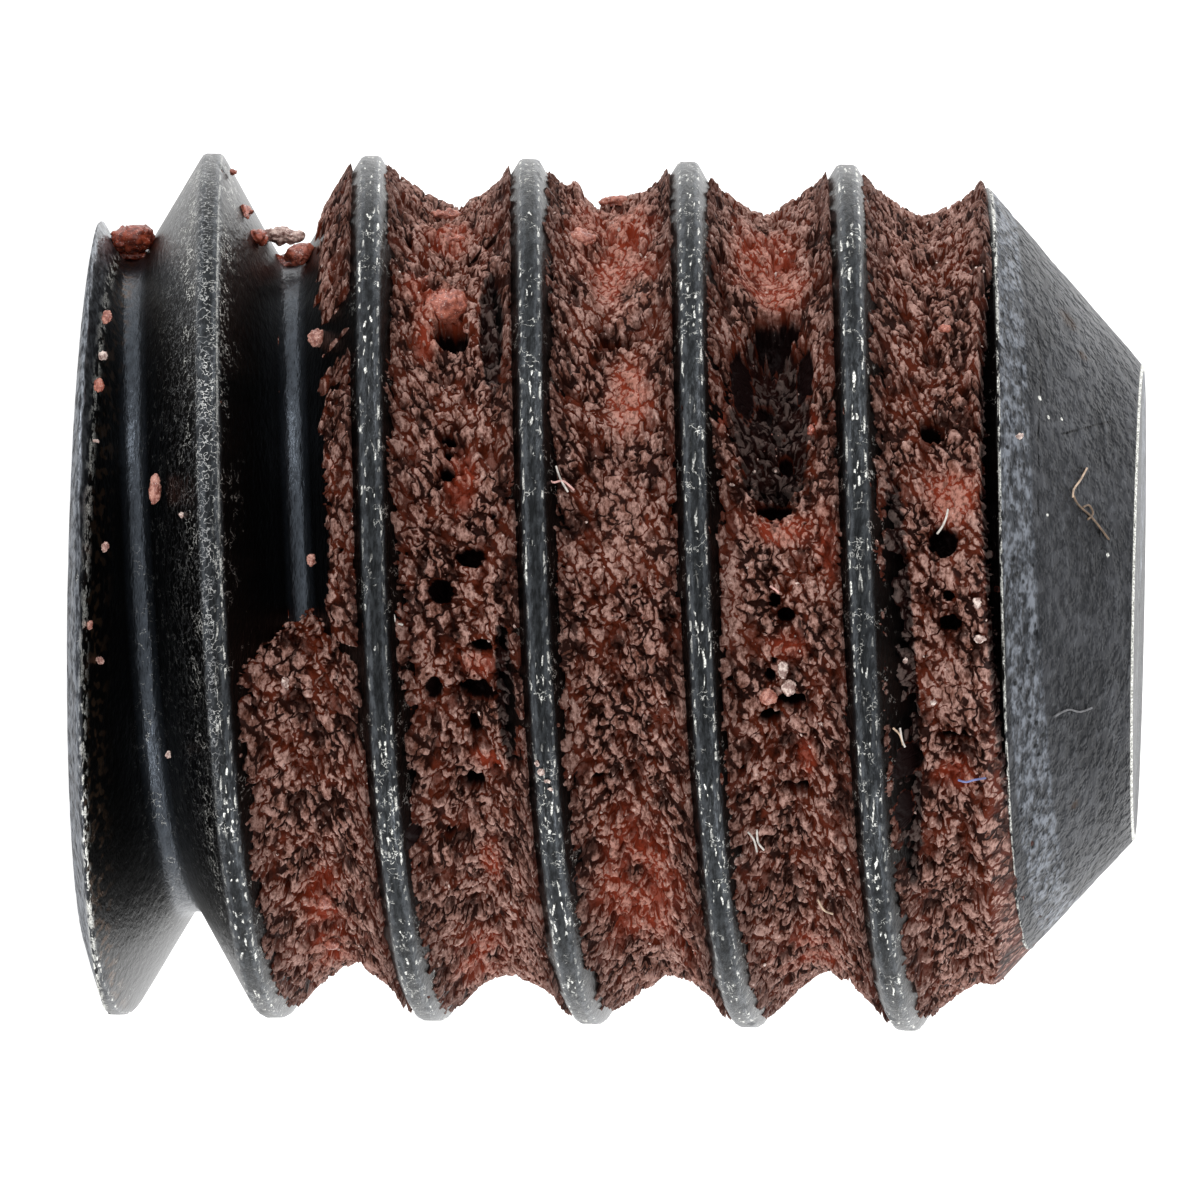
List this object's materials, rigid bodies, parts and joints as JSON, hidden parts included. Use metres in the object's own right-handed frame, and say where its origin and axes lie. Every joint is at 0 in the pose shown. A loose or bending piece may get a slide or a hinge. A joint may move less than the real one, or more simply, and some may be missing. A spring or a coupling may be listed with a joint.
{
  "type": "grub set screw",
  "caption": "Headless set screw with a hex socket, a flat point and old cured threadlocker left in its thread.",
  "frame": {"origin": "centre of the ring-shaped face at the socket end, on which the screw stands", "axes": "+Z along the screw's axis, from the socket end towards the flat point; -Y is the side that the picture shows"},
  "size_m": [0.0024, 0.0024, 0.003],
  "materials": {
    "black_oxide_steel": "black oxide, worn bright along the crests and rims",
    "cured_threadlocker": "cured red-brown resin, porous and crumbly"
  },
  "bodies": {
    "root": {"screw_body": "black_oxide_steel", "threadlocker_residue": "cured_threadlocker"}
  },
  "joints": []
}
